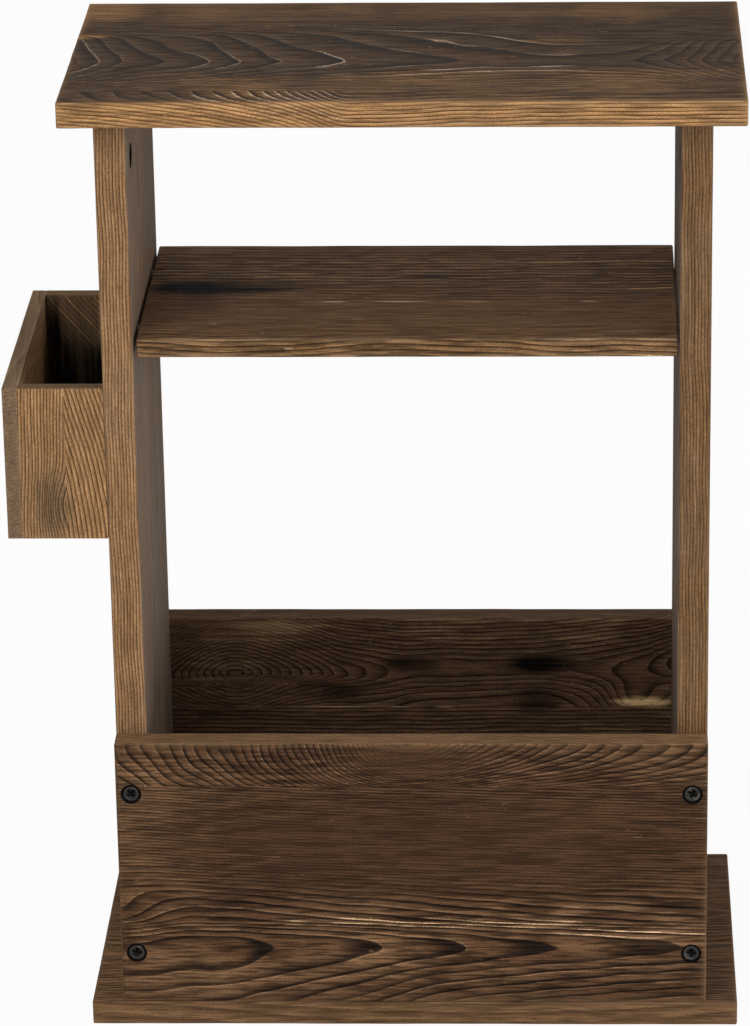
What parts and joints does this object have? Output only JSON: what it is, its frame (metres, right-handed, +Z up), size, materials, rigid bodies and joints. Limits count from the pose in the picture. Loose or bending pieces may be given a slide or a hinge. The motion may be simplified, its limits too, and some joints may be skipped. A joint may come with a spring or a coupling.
{
  "type": "magazine table with rack",
  "caption": "Narrow wooden side table with a shelf between its uprights, an open magazine rack above the base and a small remote-control caddy on one side.",
  "frame": {"origin": "centre of the base board's underside, on the floor", "axes": "+X to the right seen from the front, +Y to the back, +Z up; the caddy is on the -X side and the front rack panel faces -Y"},
  "size_m": [0.452, 0.219, 0.611],
  "materials": {
    "dark_board": "torched and wire-brushed softwood, dark brown, satin",
    "amber_board": "torched and wire-brushed softwood, straight amber grain, satin",
    "tan_board": "lightly torched softwood, tan with bold dark grain, satin",
    "black_screw": "black oxide, satin",
    "cam_metal": "dark bronzed die-cast metal",
    "bolt_steel": "bright zinc plate",
    "dowel_wood": "plain beech",
    "pin_steel": "plain steel wire"
  },
  "bodies": {
    "root": {"tabletop": "dark_board", "base_board": "dark_board", "left_upright": "amber_board", "right_upright": "amber_board", "middle_shelf": "dark_board", "rack_front_panel": "dark_board", "rack_back_panel": "dark_board", "caddy_outer_panel": "tan_board", "caddy_front_panel": "tan_board", "caddy_back_panel": "tan_board", "caddy_floor": "tan_board", "rack_front_screws": "black_screw", "rack_back_screws": "black_screw", "base_screws": "black_screw", "left_cam_locks": "cam_metal", "right_cam_locks": "cam_metal", "left_cam_bolts": "bolt_steel", "right_cam_bolts": "bolt_steel", "left_shelf_dowels": "dowel_wood", "right_shelf_dowels": "dowel_wood", "caddy_dowels": "dowel_wood", "caddy_wall_pins": "pin_steel", "caddy_floor_pins": "pin_steel"}
  },
  "joints": []
}
